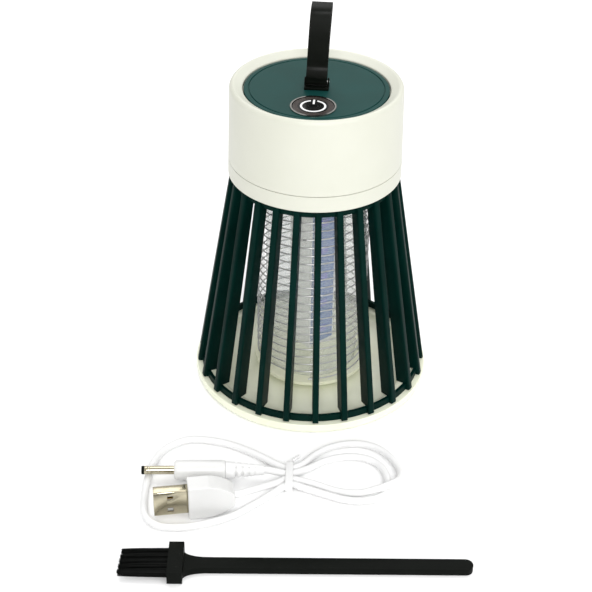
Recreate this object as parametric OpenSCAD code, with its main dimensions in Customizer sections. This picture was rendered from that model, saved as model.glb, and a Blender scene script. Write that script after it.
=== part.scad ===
// Rechargeable electric bug zapper lamp with its charging lead and cleaning brush.
// Origin: centre of the lamp's underside. +Z is up, the power button is towards -Y.

/* [Lamp body] */
// Outer diameter of the base tray
base_d = 104; // [95:1:125]
// Height of the base tray's rim
base_h = 4; // [3.5:0.1:6]
// Height of the housing's top rim above the table
lamp_h = 140; // [130:1:170]
// Outer diameter of the housing at its lower edge
head_d = 72.8; // [70:0.1:88]
// How much narrower the housing is at its top edge
head_draft = 1.6; // [0:0.1:3]
// Height of the white housing, from its lower edge to its rim
head_h = 40; // [38:0.5:50]
// Wall thickness of the housing
head_wall = 2.2; // [1.6:0.1:3]
// Height of the lower housing ring below the seam
trim_h = 7; // [5:0.1:9]
// Width of the seam between the housing's two parts
seam_w = 0.3; // [0.2:0.1:0.6]

/* [Top panel] */
// Diameter of the round top panel
panel_d = 60.2; // [56:0.1:64]
// How far the panel lies below the housing's rim
panel_drop = 2.3; // [1:0.1:4]
// Thickness of the panel
panel_t = 2; // [1.5:0.1:3]
// Distance of the power button from the lamp's axis
button_y = 17.8; // [16.5:0.1:18.5]
// Outer diameter of the chrome bezel around the button
bezel_d = 18.4; // [16:0.1:20]
// Width of the bezel's ring
bezel_w = 0.65; // [0.5:0.05:1.2]
// Travel of the button
button_travel = 0.8; // [0.4:0.1:1.2]

/* [Strap] */
// Width of the carrying strap
strap_w = 8.2; // [7:0.1:11]
// Thickness of the strap
strap_t = 1.3; // [1:0.1:1.8]
// Height of the strap's loop above its pin
strap_h = 33.2; // [26:0.1:40]
// Radius of the loop's round top
strap_r = 5.2; // [4.6:0.1:7]

/* [Cage] */
// Number of slats
slats = 25; // [20:1:26]
// Thickness of a slat
slat_t = 2.6; // [2:0.1:3.2]
// Depth of a slat at the top, from its outer to its inner edge
slat_top_depth = 4.8; // [4.4:0.1:5.6]
// Depth of a slat at the bottom
slat_low_depth = 6.8; // [5:0.1:8]

/* [Grid] */
// Radius of the high-voltage grid
grid_r = 24; // [22:0.1:25]
// Thickness of the grid wire
wire_d = 0.7; // [0.5:0.1:1]
// Rise of each wire in one turn
wire_pitch = 8; // [7:0.5:12]
// Outer radius of the light tube inside the grid
tube_r = 21; // [19:0.1:21.2]
// Width of the square LED column
column_w = 14; // [9:0.1:16]

/* [Power] */
// Diameter of the battery cell
cell_d = 18.3; // [14:0.1:18.6]
// Length of the battery cell
cell_l = 49.5; // [44:0.1:50]
// Outer diameter of the charging plug's barrel
barrel_d = 3.5; // [3:0.1:4]

/* [Charging lead] */
// Diameter of the charging lead
cord_d = 3; // [2.4:0.1:3]

/* [Brush] */
// Overall length of the cleaning brush
brush_l = 135; // [110:1:150]
// Width of the brush's head block
brush_head_w = 17; // [14:0.1:20]

/* [Hidden] */
$fn = 64;
clear = 0.3;
fit = 0.15;
base_r = base_d / 2;
head_r = head_d / 2;
head_top_r = head_r - head_draft / 2;
head_z = lamp_h - head_h;
seam_z = head_z + trim_h;
inner_r = head_top_r - head_wall;
panel_r = panel_d / 2;
panel_z = lamp_h - panel_drop;
seat_z = panel_z - panel_t;
seat_r = panel_r - 2.4;
groove_r = panel_r - 2.4;
bezel_r = bezel_d / 2;
button_d = bezel_d - 2 * (bezel_w + fit);
button_r = button_d / 2;
bezel_lip = 0.5;

// tray
tray_floor = 2.4;
tray_dish_r = base_r - 7.5;
rim_r = base_r - 0.6;
bayonets = 3;
bayonet_turn = 20;
lug_arc = 12;

// cage
slat_z0 = base_h + clear;
slat_foot_r = rim_r;
slat_head_r = head_r - 0.5;
ring_h = 3;
ring_t = 1.4;
low_ring_r = slat_foot_r - 2;
top_ring_h = 3.4;
top_ring_t = 2.8;
top_ring_r = slat_head_r - 1.8;
slat_step = 360 / slats;

// head floor and what hangs from it
floor_t = 2;
floor_z = head_z + floor_t;
disc_r = grid_r + 1.2;
disc_t = 3;
disc_z = head_z - disc_t;
foot_disc_z = base_h + 0.8;
foot_disc_t = 2;
foot_top = foot_disc_z + foot_disc_t;
tube_wall = 1.2;
posts = 4;
post_w = 2.4;
post_turn = slat_step / 2;
column_turn = 44;
column_z = head_z - 85.6;
board_w = 12;
board_t = 1;
led_w = 3.5;
led_l = 2.8;
led_t = 0.8;
leds = 6;
lead_x = 6;
lead_y = -sqrt(grid_r * grid_r - lead_x * lead_x);
grid_lead_r = 0.8;
wire_r = wire_d / 2;
wire_low = foot_top + 0.8;
return_high = disc_z - 1.6;
lead_gap = 2 * asin(lead_x / grid_r);
wire_high = return_high - wire_pitch * (0.5 - lead_gap / 360);
wire_sides = 5;
wire_steps = 24;
post_out = grid_r * cos(180 / wire_steps) - wire_r - 0.05;

// inside the head
boss_r = 3;
boss_ring = inner_r - 4.8;
boss_turns = [50, 130, 270];
screw_r = 1.25;
screw_bore = 1.3;
screw_head_r = 2.5;
screw_head_t = 1.6;
pcb_t = 1.6;
pcb_z = seat_z - 9.7;
pcb_r = inner_r - 6.4;
pcb_top = pcb_z + pcb_t;
pillars = [[-20, 14], [20, 14], [-19, -14], [19, -14]];
pillar_r = 2.2;
pillar_bore = 1.05;
cell_y = 2;
cradle_wall = 1.2;
cell_z = floor_z + 1.5 + cell_d / 2;
switch_w = 6;
switch_t = 3.6;
plunger_r = 1.7;
stem_r = 2;
stem_z = pcb_top + switch_t + 1;
cap_top = panel_z + 0.3;
cap_low = seat_z - 0.2;
jack_z = head_z + 14;
jack_w = 9;
jack_h = 7;
jack_bore = barrel_d / 2 + 0.1;
jack_mouth = 6;
jack_back = 3.2;
jack_out = head_r - head_draft / 2 * (jack_z - head_z) / head_h;

// strap hinge
pin_z = panel_z + 2.9;
pin_r = 0.5;
ear_t = 0.6;
anchor_d = 6;
saddle_top = pin_z - 1.7;

// charging lead: place, turn and the parts on its ends, in the lead's own frame
lead_at = [-1.7, -82.8];
lead_turn = 4;
cord_r = cord_d / 2;
cord_sides = 8;
dc_end = [-10.5, 0];
dc_turn = 2.4;
dc_z = 5;
dc_relief_l = 15.5;
dc_grip_l = 21;
dc_grip_r = 4.1;
dc_barrel_l = 13.4;
dc_tip_l = 1.1;
usb_end = [-21.5, -18.3];
usb_turn = 10;
usb_z = 7.8;
usb_grip_l = 18.5;
usb_grip_h = 15.6;
usb_grip_t = 8;
usb_shell_l = 13.5;
usb_shell_h = 12;
usb_shell_t = 4.5;
tie_w = 3;
tie_t = 0.4;
tie_floor = 0.3;
tie_half = 8.3;
tie_top = 4.5;

// the lead's route, from the charging plug to the USB plug
cord_route = [
    [-10.5, 0, 5], [-8.6, 0.1, 4.9], [-4.4, 0.9, 3.2], [0, 1.7, 1.9], [7, 5, 1.6], [14.5, 10.5, 1.5],
    [23, 13.5, 1.5], [31, 13, 1.5], [37, 9, 1.5], [40, 2, 1.5], [39.8, -5, 1.5], [37, -10.5, 1.5],
    [31, -13.3, 1.5], [23, -13, 1.5], [14, -9.8, 1.5], [7, -6.9, 1.5], [0, -5.1, 1.9],
    [-7, -11, 1.6], [-14.5, -17.8, 1.5], [-22, -24, 1.5], [-31, -28.5, 1.5], [-41, -31.2, 1.5],
    [-50, -31, 1.5], [-56, -26, 1.5], [-57.8, -17, 1.5], [-58, -6, 1.5], [-57, 5, 1.5], [-53, 15, 1.5],
    [-44.5, 21.8, 1.5], [-34, 22, 1.5], [-24, 19, 1.5], [-14, 13.6, 1.5], [-5.5, 7.6, 1.6],
    [0, 5.1, 1.9], [5, 7.8, 1.6], [10.5, 14.5, 1.5], [18, 20, 1.5], [27, 22.3, 1.5], [35.5, 20.3, 1.5],
    [42, 14, 1.5], [45.3, 6, 1.7], [45, -1, 3.1], [41.5, -6.2, 4.7], [35.5, -9.2, 4.2], [28, -9.9, 2.4],
    [19, -7.8, 1.5], [9, -3.6, 1.6], [0, -1.7, 1.9], [-5.5, -5.6, 2.8], [-11, -10.4, 4.7],
    [-16, -15.2, 6.8], [-19.5, -17.9, 7.7], [-21.5, -18.3, 7.8]
];

// brush
brush_at = [5.7, -133.3];
brush_turn = 5.4;
brush_t = 2.9;
brush_w = 5.8;
block_l = 5.8;
block_t = 5.5;
tuft_l = 18.9;
tufts = 5;
tuft_w = 2.2;
tuft_t = 3.8;

// ---- helpers ----
module ring(r_out, r_in, z0, z1) {
    rotate_extrude()
        polygon([[r_in, z0], [r_out, z0], [r_out, z1], [r_in, z1]]);
}

// a block between two turning angles about Z, used for lugs and hooks
module ring_piece(r_out, r_in, z0, z1, arc) {
    intersection() {
        ring(r_out, r_in, z0, z1);
        linear_extrude(z1 + 1)
            polygon([[0, 0], 2 * r_out * [cos(arc / 2), -sin(arc / 2)], 2 * r_out * [1, 0],
                2 * r_out * [cos(arc / 2), sin(arc / 2)]]);
    }
}

// a round-ended slot shape from a small circle at the origin to a larger one d further along +Y
function teardrop(r1, r2, d) = let(a = asin((r2 - r1) / d)) concat(
    [for (t = [180 - a:(180 + 2 * a) / 12:360 + a]) r1 * [cos(t), sin(t)]],
    [for (t = [-a + 0:(180 + 2 * a) / 20:180 + a + 0.01]) [r2 * cos(t), d + r2 * sin(t)]]);

// points of a tube with closed ends along a list of points, with its sides turned to a fixed up axis
function unit(v) = v / norm(v);
function heading(p, i) = unit(p[min(i + 1, len(p) - 1)] - p[max(i - 1, 0)]);
function side_of(t) = unit(cross(t, [0, 0, 1]));
function tube_points(p, r, n) = [for (i = [0:len(p) - 1]) let(t = heading(p, i), s = side_of(t),
    u = cross(s, t)) for (k = [0:n - 1]) p[i] + r * (cos(360 * k / n) * s + sin(360 * k / n) * u)];
function tube_faces(m, n) = concat(
    [[for (k = [0:n - 1]) k]],
    [for (i = [0:m - 2]) for (k = [0:n - 1]) let(a = i * n + k, b = i * n + (k + 1) % n)
        each [[a, a + n, b], [b, a + n, b + n]]],
    [[for (k = [n - 1:-1:0]) (m - 1) * n + k]]);
module tube_along(p, r, n) {
    polyhedron(tube_points(p, r, n), tube_faces(len(p), n), convexity = 10);
}

// the same points with none of the cord below the table
function laid(p, r) = [for (q = p) [q.x, q.y, max(q.z, r)]];

module on_lead() {
    translate([lead_at.x, lead_at.y, 0]) rotate(lead_turn) children();
}

// children drawn along +X from the plug's cord end back towards its tip
module on_dc() {
    on_lead() translate([dc_end.x, dc_end.y, dc_z]) rotate(180 + dc_turn) rotate([0, 90, 0]) children();
}

module on_usb() {
    on_lead() translate([usb_end.x, usb_end.y, usb_z]) rotate(180 + usb_turn) children();
}

module on_brush() {
    translate([brush_at.x, brush_at.y, 0]) rotate(brush_turn) children();
}

module at_button() {
    translate([0, -button_y, 0]) children();
}

// ---- housing ----
module head_housing() {
    color("ivory") difference() {
        union() {
            rotate_extrude()
                polygon(concat(
                    [[inner_r, seam_z + seam_w], [head_r - head_draft / 2 * trim_h / head_h, seam_z + seam_w],
                        [head_top_r, lamp_h - 2.2]],
                    [for (a = [15:15:75]) [head_top_r - 2 + 2 * cos(a), lamp_h - 2.2 + 2.2 * sin(a)]],
                    [[head_top_r - 2.2, lamp_h - 0.3], [panel_r + fit + 0.3, panel_z + 0.3],
                        [panel_r + fit, panel_z], [panel_r + fit, seat_z],
                        [seat_r, seat_z], [seat_r, seat_z - 1.6], [inner_r, seat_z - 3.6]]));
            for (a = boss_turns)
                rotate(a) translate([boss_ring, 0, seam_z + seam_w])
                    cylinder(r = boss_r, h = seat_z - 1.6 - seam_z - seam_w);
            for (a = boss_turns)
                rotate(a) translate([boss_ring, -0.6, seam_z + seam_w])
                    cube([inner_r + 0.5 - boss_ring, 1.2, seat_z - 2.4 - seam_z - seam_w]);
        }
        for (a = boss_turns)
            rotate(a) translate([boss_ring, 0, seam_z])
                cylinder(r = screw_bore, h = 15);
        translate([-jack_w / 2 - fit, inner_r - 3, jack_z - jack_h / 2 - fit])
            cube([jack_w + 2 * fit, 12, jack_h + 2 * fit]);
    }
}

module head_lower_ring() {
    color("ivory") difference() {
        union() {
            rotate_extrude()
                polygon([[0, head_z], [head_r - 0.4, head_z], [head_r, head_z + 0.4],
                    [head_r - head_draft / 2 * trim_h / head_h, seam_z], [inner_r, seam_z],
                    [inner_r, floor_z], [0, floor_z]]);
            for (p = pillars)
                translate([p.x, p.y, head_z]) cylinder(r = pillar_r, h = pcb_z - head_z);
            for (a = boss_turns)
                rotate(a) translate([boss_ring, 0, head_z])
                    cylinder(r = boss_r, h = seam_z + seam_w - head_z);
        }
        for (p = pillars)
            translate([p.x, p.y, pcb_z - 8]) cylinder(r = pillar_bore, h = 9);
        for (a = boss_turns)
            rotate(a) translate([boss_ring, 0, head_z - 1]) {
                cylinder(r = screw_bore, h = 20);
                cylinder(r = screw_head_r + fit, h = screw_head_t + 1);
            }
        for (s = [-1, 1])
            translate([s * lead_x, lead_y, head_z - 1]) cylinder(r = grid_lead_r + 0.1, h = floor_t + 2);
    }
}

module head_screws() {
    color("silver") for (a = boss_turns)
        rotate(a) translate([boss_ring, 0, head_z]) {
            cylinder(r = screw_head_r, h = screw_head_t);
            cylinder(r = screw_r, h = 18);
        }
}

module top_panel() {
    color("darkslategray") difference() {
        rotate_extrude()
            polygon([[0, seat_z], [panel_r, seat_z], [panel_r, panel_z - 0.3], [panel_r - 0.3, panel_z],
                [groove_r + 0.3, panel_z], [groove_r, panel_z - 0.4], [groove_r - 0.3, panel_z], [0, panel_z]]);
        at_button() translate([0, 0, seat_z - 1]) cylinder(r = bezel_r - 0.4, h = panel_t + 2);
    }
}

// ---- power button ----
module button_bezel() {
    color("silver") at_button() {
        ring(bezel_r, button_r + fit, panel_z, panel_z + bezel_lip);
        ring(bezel_r - 0.45, button_r + fit, seat_z - 1, panel_z);
    }
}

module power_button() {
    color("black") at_button() {
        rotate_extrude()
            polygon([[0, cap_low], [button_r, cap_low], [button_r, cap_top - 0.3],
                [button_r - 0.3, cap_top], [0, cap_top]]);
        translate([0, 0, stem_z]) cylinder(r = stem_r, h = cap_low - stem_z);
    }
}

module button_icon() {
    icon_r = button_r * 0.62;
    icon_t = 0.8;
    color("white") at_button() translate([0, 0, cap_top]) {
        difference() {
            ring(icon_r, icon_r - icon_t, 0, 0.1);
            translate([-icon_t * 1.6, 0, -1]) cube([icon_t * 3.2, icon_r + 1, 2]);
        }
        translate([-icon_t / 2, icon_r * 0.35, 0]) cube([icon_t, icon_r * 0.72, 0.1]);
    }
}

module tact_switch() {
    color("dimgray") at_button() difference() {
        translate([-switch_w / 2, -switch_w / 2, pcb_top]) cube([switch_w, switch_w, switch_t]);
        translate([0, 0, pcb_top + 0.6]) cylinder(r = plunger_r + fit, h = switch_t);
    }
}

module switch_plunger() {
    color("black") at_button() translate([0, 0, pcb_top + 0.6 + button_travel + 0.2])
        cylinder(r = plunger_r, h = stem_z - pcb_top - 0.8 - button_travel);
}

// ---- strap ----
module strap_anchor() {
    ear_x = strap_w / 2 + clear;
    color("black") difference() {
        union() {
            translate([-ear_x - ear_t, -anchor_d / 2, panel_z])
                cube([2 * (ear_x + ear_t), anchor_d, saddle_top - panel_z]);
            for (s = [-1, 1])
                translate([s * (ear_x + ear_t / 2) - ear_t / 2, 0, 0]) {
                    translate([0, -1.6, saddle_top - 0.2]) cube([ear_t, 3.2, pin_z - saddle_top + 0.2]);
                    translate([0, 0, pin_z]) rotate([0, 90, 0]) cylinder(r = 1.6, h = ear_t);
                }
        }
        translate([-10, 0, pin_z]) rotate([0, 90, 0]) cylinder(r = pin_r + 0.05, h = 20);
    }
}

module strap_pin() {
    color("silver") translate([-strap_w / 2 - clear - ear_t, 0, pin_z])
        rotate([0, 90, 0]) cylinder(r = pin_r, h = strap_w + 2 * (clear + ear_t));
}

module strap_loop() {
    d = strap_h - strap_r;
    color("black") translate([strap_w / 2, 0, pin_z]) rotate([90, 0, -90]) difference() {
        linear_extrude(strap_w) difference() {
            polygon(teardrop(strap_t, strap_r, d));
            translate([0, 8]) polygon(teardrop(0.2, strap_r - strap_t, d - 8));
        }
        translate([0, 0, -1]) cylinder(r = pin_r + 0.1, h = strap_w + 2);
    }
}

// ---- electronics ----
module control_board() {
    color("darkgreen") difference() {
        translate([0, 0, pcb_z]) cylinder(r = pcb_r, h = pcb_t);
        for (a = boss_turns)
            rotate(a) translate([boss_ring, 0, pcb_z - 1]) cylinder(r = boss_r + 0.5, h = pcb_t + 2);
        for (p = pillars)
            translate([p.x, p.y, pcb_z - 1]) cylinder(r = 1.2, h = pcb_t + 2);
    }
}

module board_screws() {
    color("silver") for (p = pillars)
        translate([p.x, p.y, pcb_top - 6]) {
            cylinder(r = 1, h = 6);
            translate([0, 0, 6]) cylinder(r = 1.9, h = 1.2);
        }
}

module transformer_core() {
    color("dimgray") translate([-9, -15.4, pcb_z - 12.2]) difference() {
        translate([-6, -5, 0]) cube([12, 10, 12.2]);
        translate([-4, -6, 2]) cube([8, 12, 8.2]);
    }
}

module hv_transformer() {
    color("goldenrod") translate([-9, -15.4, pcb_z - 10.2]) translate([-4, -5, 0]) cube([8, 10, 8.2]);
}

module hv_capacitor() {
    color("firebrick") translate([9, -15.4, pcb_z - 11]) translate([-5, -3.5, 0]) cube([10, 7, 11]);
}

module board_chips() {
    color("black") {
        translate([-12, -2, pcb_top]) cube([5, 4, 1.5]);
        translate([6, -1, pcb_top]) cube([6, 5, 1.5]);
        translate([-3, 8, pcb_top]) cube([3, 3, 1.2]);
    }
}

module battery_cell() {
    color("royalblue") translate([-cell_l / 2, cell_y, cell_z]) rotate([0, 90, 0])
        cylinder(r = cell_d / 2, h = cell_l);
}

module battery_cradle() {
    half = cell_l / 2 + 0.5;
    wide = cell_d / 2 + 0.4;
    color("black") translate([0, cell_y, floor_z]) difference() {
        translate([-half - cradle_wall, -wide, 0]) cube([2 * (half + cradle_wall), 2 * wide, cell_d * 0.62]);
        translate([-half, 0, cell_z - floor_z]) rotate([0, 90, 0]) cylinder(r = cell_d / 2 + fit, h = 2 * half);
    }
}

module battery_contacts() {
    color("silver") for (s = [-1, 1])
        translate([s * (cell_l / 2 + 0.25) - 0.25, cell_y - 3, cell_z - 3]) cube([0.5, 6, pcb_z - cell_z + 3]);
}

module dc_jack() {
    depth = jack_mouth + jack_back + 1.5;
    color("black") difference() {
        translate([-jack_w / 2, jack_out - 0.2 - depth, jack_z - jack_h / 2]) cube([jack_w, depth, jack_h]);
        translate([0, jack_out + 1, jack_z]) rotate([90, 0, 0]) cylinder(r = jack_bore, h = jack_mouth + 1.2);
        translate([0, jack_out - jack_mouth, jack_z]) rotate([90, 0, 0])
            cylinder(r = jack_bore - 0.25, h = jack_back + 0.2);
    }
}

module jack_pin() {
    color("gold") translate([0, jack_out - 0.4 - jack_mouth, jack_z]) rotate([90, 0, 0])
        cylinder(r = 0.55, h = jack_back - 0.2);
}

module grid_leads() {
    color("red") for (end = [[lead_x, wire_high], [-lead_x, return_high]])
        translate([end.x, lead_y, end.y + wire_r + 0.05])
            cylinder(r = grid_lead_r, h = pcb_z - end.y - wire_r - 0.05);
}

// ---- light and grid ----
module grid_top_disc() {
    color("white") difference() {
        translate([0, 0, disc_z]) cylinder(r = disc_r, h = disc_t);
        for (s = [-1, 1])
            translate([s * lead_x, lead_y, disc_z - 1]) cylinder(r = grid_lead_r + 0.1, h = disc_t + 2);
    }
}

module grid_foot_disc() {
    color("white") rotate_extrude()
        polygon([[0, foot_disc_z], [disc_r - 0.4, foot_disc_z], [disc_r, foot_disc_z + 0.4],
            [disc_r, foot_top], [0, foot_top]]);
}

module grid_posts() {
    color("whitesmoke") for (i = [0:posts - 1])
        rotate(post_turn - 90 + 360 * i / posts)
            translate([tube_r + 0.05, -post_w / 2, foot_top])
                cube([post_out - tube_r - 0.05, post_w, disc_z - foot_top]);
}

// a coil of wire from its upper end down, one full pitch a turn
function wire_path(turn0, z0, z1) = let(n = floor((z1 - z0) / wire_pitch * wire_steps))
    [for (i = [0:n]) let(a = turn0 - 360 * (n - i) / wire_steps)
        [grid_r * cos(a), grid_r * sin(a), z1 - wire_pitch * (n - i) / wire_steps]];

module grid_wire_live() {
    color("silver") tube_along(wire_path(atan2(lead_y, lead_x), wire_low, wire_high), wire_r, wire_sides);
}

module grid_wire_return() {
    color("gray") tube_along(wire_path(atan2(lead_y, -lead_x), wire_low, return_high), wire_r, wire_sides);
}

module light_tube() {
    color("lightgray") ring(tube_r, tube_r - tube_wall, foot_top, disc_z);
}

module led_column() {
    color("whitesmoke") rotate(column_turn) difference() {
        translate([-column_w / 2, -column_w / 2, column_z]) cube([column_w, column_w, disc_z - column_z]);
        for (s = [0, 180])
            rotate(s) translate([-board_w / 2 - fit, -column_w / 2 - 1, column_z + 1.6])
                cube([board_w + 2 * fit, 1.6, disc_z - column_z]);
    }
}

module led_boards() {
    color("thistle") for (s = [0, 180])
        rotate(column_turn + s) translate([-board_w / 2, -column_w / 2 - 0.4, column_z + 1.8])
            cube([board_w, board_t, disc_z - column_z - 2]);
}

module uv_leds() {
    span = disc_z - column_z - 14;
    color("violet") for (s = [0, 180])
        for (i = [0:leds - 1])
            rotate(column_turn + s)
                translate([-led_w / 2, -column_w / 2 - 0.4 - led_t, column_z + 7 + i * span / (leds - 1)])
                    cube([led_w, led_t, led_l]);
}

// ---- cage ----
module cage_top_ring() {
    color("darkslategray") ring(top_ring_r, top_ring_r - top_ring_t, head_z - top_ring_h, head_z);
}

module cage_low_ring() {
    hook_z = slat_z0 + 1;
    color("darkslategray") {
        ring(low_ring_r, low_ring_r - ring_t, slat_z0, slat_z0 + ring_h);
        for (i = [0:bayonets - 1])
            rotate(90 + 360 * i / bayonets)
                ring_piece(low_ring_r - ring_t + 0.2, low_ring_r - ring_t - 1.2, slat_z0, hook_z, 24);
    }
}

module slat() {
    low_in = slat_foot_r - slat_low_depth;
    top_in = slat_head_r - slat_top_depth;
    z0 = slat_z0;
    z1 = slat_z0 + ring_h;
    z2 = head_z - top_ring_h;
    translate([0, slat_t / 2, 0]) rotate([90, 0, 0]) linear_extrude(slat_t)
        polygon([[low_ring_r, z0], [slat_foot_r - 0.6, z0], [slat_foot_r, z0 + 0.6],
            [slat_head_r, head_z - 2], [slat_head_r - 0.8, head_z - 0.3], [top_ring_r, head_z - 0.3],
            [top_ring_r, z2], [top_in, z2], [low_in, z1], [low_ring_r, z1]]);
}

module cage_slats() {
    color("darkslategray") for (i = [0:slats - 1])
        rotate(-90 + slat_step * (i + 0.5)) slat();
}

module base_tray() {
    lug_in = low_ring_r - ring_t - 2.8;
    lug_mid = low_ring_r - ring_t - 1.5;
    lug_out = low_ring_r - ring_t - clear;
    color("ivory") {
        rotate_extrude()
            polygon([[0, 0], [base_r - 1.2, 0], [base_r - 0.35, 0.35], [base_r, 1.2], [base_r, base_h - 0.3],
                [base_r - 0.3, base_h], [lug_in - 0.6, base_h], [lug_in - 2, tray_floor + 0.4],
                [lug_in - 3, tray_floor], [0, tray_floor]]);
        for (i = [0:bayonets - 1])
            rotate(90 + 360 * i / bayonets) {
                ring_piece(lug_mid, lug_in, base_h, slat_z0 + ring_h - clear, lug_arc);
                ring_piece(lug_out, lug_mid - 0.1, slat_z0 + 1 + clear, slat_z0 + ring_h - clear, lug_arc);
            }
    }
}

// ---- charging lead ----
module usb_shell() {
    x0 = usb_grip_l;
    color("lightgray") on_usb() difference() {
        translate([x0, -usb_shell_t / 2, -usb_shell_h / 2]) cube([usb_shell_l, usb_shell_t, usb_shell_h]);
        translate([x0 + 0.4, -usb_shell_t / 2 + 0.35, -usb_shell_h / 2 + 0.35])
            cube([usb_shell_l, usb_shell_t - 0.7, usb_shell_h - 0.7]);
        for (s = [-1, 1])
            translate([x0 + usb_shell_l - 7.6, -5, s * 3 - 1.1]) cube([2.3, 10, 2.2]);
    }
}

module usb_tongue() {
    color("white") on_usb()
        translate([usb_grip_l + 0.4, -usb_shell_t / 2 + 0.35, -usb_shell_h / 2 + 0.4])
            cube([usb_shell_l - 1, 1.9, usb_shell_h - 0.8]);
}

module usb_grip() {
    h = usb_grip_h / 2;
    t = usb_grip_t / 2;
    color("white") on_usb() {
        translate([0, t, 0]) rotate([90, 0, 0]) linear_extrude(2 * t)
            polygon([[usb_grip_l, -h], [usb_grip_l, h], [10, h], [7.5, h - 0.5], [5, h - 1.5], [2.2, h - 3.1],
                [0.6, h - 4.5], [0, h - 5.4], [0, 5.4 - h], [0.6, 4.5 - h], [2.2, 3.1 - h], [5, 1.5 - h],
                [7.5, 0.5 - h], [10, -h]]);
    }
}

module dc_barrel() {
    z0 = dc_relief_l + dc_grip_l;
    color("silver") on_dc() translate([0, 0, z0]) ring(barrel_d / 2, barrel_d / 2 - 0.4, 0, dc_barrel_l - dc_tip_l);
}

module dc_tip() {
    z0 = dc_relief_l + dc_grip_l;
    color("black") on_dc() {
        translate([0, 0, z0 + dc_barrel_l - dc_tip_l]) ring(barrel_d / 2, 0.7, 0, dc_tip_l);
        translate([0, 0, z0]) ring(barrel_d / 2 - 0.4, 0.7, 0, dc_barrel_l - dc_tip_l);
    }
}

module dc_grip() {
    r = dc_grip_r;
    color("white") on_dc() rotate_extrude()
        polygon([[0, dc_relief_l], [r - 0.6, dc_relief_l], [r, dc_relief_l + 0.8],
            [r, dc_relief_l + dc_grip_l - 1], [r - 0.8, dc_relief_l + dc_grip_l], [0, dc_relief_l + dc_grip_l]]);
}

module dc_relief() {
    color("white") on_dc() difference() {
        cylinder(r1 = cord_r + 0.5, r2 = 3.6, h = dc_relief_l);
        for (i = [0:3])
            translate([0, 0, 3 + 2.6 * i]) difference() {
                translate([-6, -6, 0]) cube([12, 12, 1]);
                cylinder(r = cord_r + 0.4, h = 1);
                translate([-6, -0.8, 0]) cube([12, 1.6, 1]);
            }
    }
}

module charging_cord() {
    color("white") on_lead() tube_along(laid(cord_route, cord_r), cord_r, cord_sides);
}

module cord_tie() {
    color("white") on_lead() rotate([90, 0, 90]) translate([0, 0, -tie_w / 2]) linear_extrude(tie_w)
        difference() {
            translate([-tie_half, 0]) square([2 * tie_half, tie_top]);
            translate([tie_t - tie_half, tie_floor])
                square([2 * (tie_half - tie_t), tie_top - tie_t - tie_floor]);
        }
}

// ---- cleaning brush ----
module brush_handle() {
    x0 = -brush_l / 2 + tuft_l;
    x1 = x0 + block_l;
    x2 = x1 + 9;
    x3 = brush_l / 2;
    w = brush_w / 2;
    neck = brush_head_w / 2 - 2.2;
    color("black") on_brush() {
        linear_extrude(block_t) polygon([[x0, -brush_head_w / 2], [x1, -brush_head_w / 2],
            [x1, brush_head_w / 2], [x0, brush_head_w / 2]]);
        linear_extrude(brush_t) polygon(concat(
            [for (a = [0:10:90]) [x2 - (x2 - x1 + 0.1) * sin(a), w + (neck - w) * (1 - cos(a))]],
            [for (a = [90:-10:0]) [x2 - (x2 - x1 + 0.1) * sin(a), -w - (neck - w) * (1 - cos(a))]],
            [for (a = [-90:15:90]) [x3 - w + w * cos(a), w * sin(a)]]));
    }
}

module brush_tufts() {
    x0 = -brush_l / 2;
    step = (brush_head_w - 3.6 - tuft_w) / (tufts - 1);
    color("black") on_brush() for (i = [0:tufts - 1])
        translate([x0, -tuft_w / 2 + (i - (tufts - 1) / 2) * step, (block_t - tuft_t) / 2])
            cube([tuft_l, tuft_w, tuft_t]);
}

head_housing();
head_lower_ring();
head_screws();
top_panel();
button_bezel();
power_button();
button_icon();
tact_switch();
switch_plunger();
strap_anchor();
strap_pin();
strap_loop();
control_board();
board_screws();
hv_transformer();
transformer_core();
hv_capacitor();
board_chips();
battery_cell();
battery_cradle();
battery_contacts();
dc_jack();
jack_pin();
grid_leads();
grid_top_disc();
grid_foot_disc();
grid_posts();
grid_wire_live();
grid_wire_return();
light_tube();
led_column();
led_boards();
uv_leds();
cage_top_ring();
cage_slats();
cage_low_ring();
base_tray();
usb_shell();
usb_tongue();
usb_grip();
dc_barrel();
dc_tip();
dc_grip();
dc_relief();
charging_cord();
cord_tie();
brush_handle();
brush_tufts();
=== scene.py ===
import math
import random

import bpy
from mathutils import Matrix, Vector


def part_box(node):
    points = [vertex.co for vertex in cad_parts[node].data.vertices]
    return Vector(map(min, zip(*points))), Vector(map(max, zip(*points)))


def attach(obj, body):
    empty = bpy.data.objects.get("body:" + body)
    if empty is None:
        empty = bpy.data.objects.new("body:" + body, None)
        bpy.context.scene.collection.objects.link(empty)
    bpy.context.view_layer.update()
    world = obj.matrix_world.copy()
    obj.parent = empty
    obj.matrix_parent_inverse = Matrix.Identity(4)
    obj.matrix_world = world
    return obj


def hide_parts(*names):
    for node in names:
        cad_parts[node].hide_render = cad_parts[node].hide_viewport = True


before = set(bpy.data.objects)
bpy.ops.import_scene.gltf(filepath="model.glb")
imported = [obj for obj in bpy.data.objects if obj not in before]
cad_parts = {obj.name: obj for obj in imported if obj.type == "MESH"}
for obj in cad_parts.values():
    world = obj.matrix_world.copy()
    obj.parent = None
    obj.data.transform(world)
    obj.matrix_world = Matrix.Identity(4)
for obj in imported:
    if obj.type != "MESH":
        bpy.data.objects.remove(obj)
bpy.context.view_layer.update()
MM = 0.001

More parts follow.
